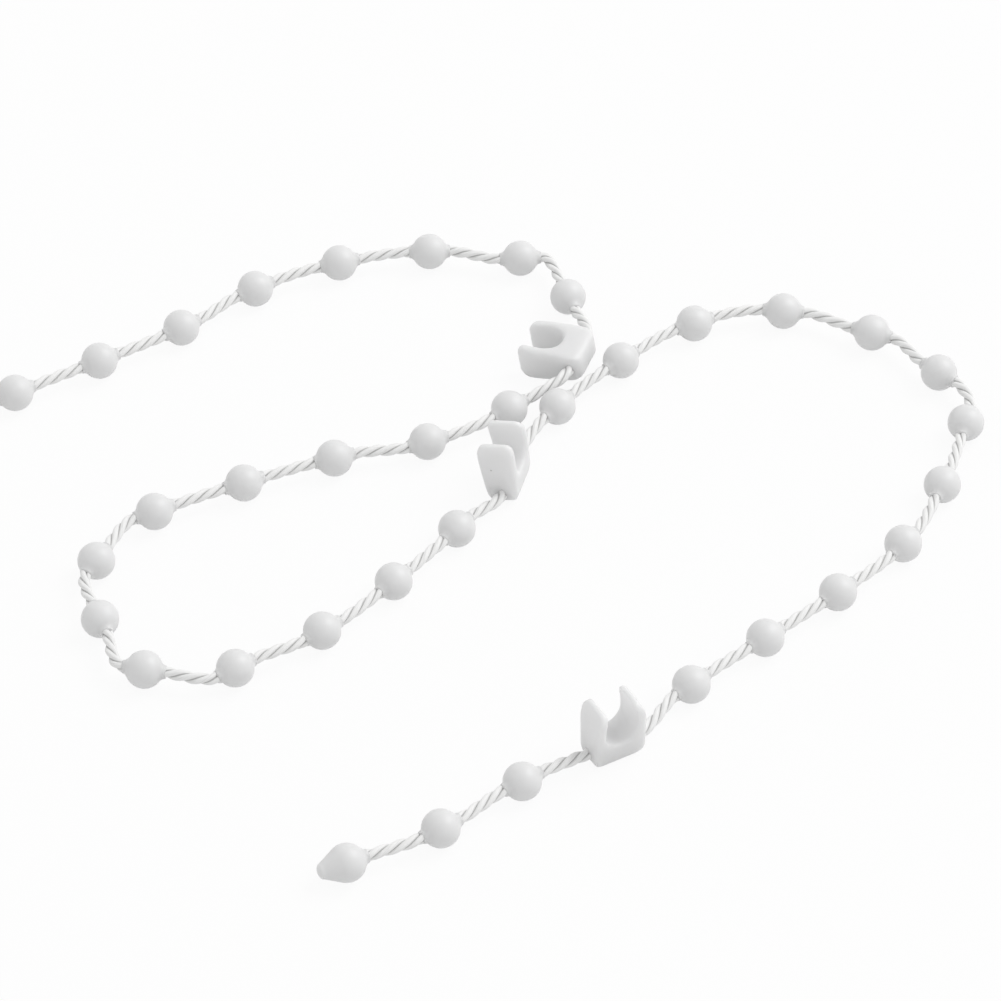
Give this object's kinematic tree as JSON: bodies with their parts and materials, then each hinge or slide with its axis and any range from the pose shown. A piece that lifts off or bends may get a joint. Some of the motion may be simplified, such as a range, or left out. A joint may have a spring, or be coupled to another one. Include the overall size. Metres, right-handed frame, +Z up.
{
  "type": "vertical blind bottom chain",
  "caption": "Loose length of white bead chain for vertical blinds: a twisted cord with small round beads and open-jaw clips moulded onto it.",
  "frame": {"origin": "middle of the area the chain covers, on the table it lies on", "axes": "+Z up; +X to the right and +Y away, as seen by someone looking along the picture's view"},
  "size_m": [0.0921, 0.0826, 0.0067],
  "materials": {
    "plastic": "satin white moulded plastic, slightly translucent",
    "yarn": "white twisted synthetic cord, slightly silky"
  },
  "bodies": {
    "root": {"cord": "yarn", "bead_01": "plastic", "bead_02": "plastic", "bead_03": "plastic", "bead_04": "plastic", "bead_05": "plastic", "bead_06": "plastic", "bead_07": "plastic", "bead_08": "plastic", "bead_09": "plastic", "bead_10": "plastic", "bead_11": "plastic", "bead_12": "plastic", "bead_13": "plastic", "bead_14": "plastic", "bead_15": "plastic", "bead_16": "plastic", "bead_17": "plastic", "bead_18": "plastic", "bead_19": "plastic", "bead_20": "plastic", "bead_21": "plastic", "bead_22": "plastic", "bead_23": "plastic", "bead_24": "plastic", "bead_25": "plastic", "bead_26": "plastic", "bead_27": "plastic", "bead_28": "plastic", "bead_29": "plastic", "bead_30": "plastic", "bead_31": "plastic", "bead_32": "plastic", "bead_33": "plastic", "bead_34": "plastic", "bead_35": "plastic", "clip_01": "plastic", "clip_02": "plastic", "clip_03": "plastic"}
  },
  "joints": []
}
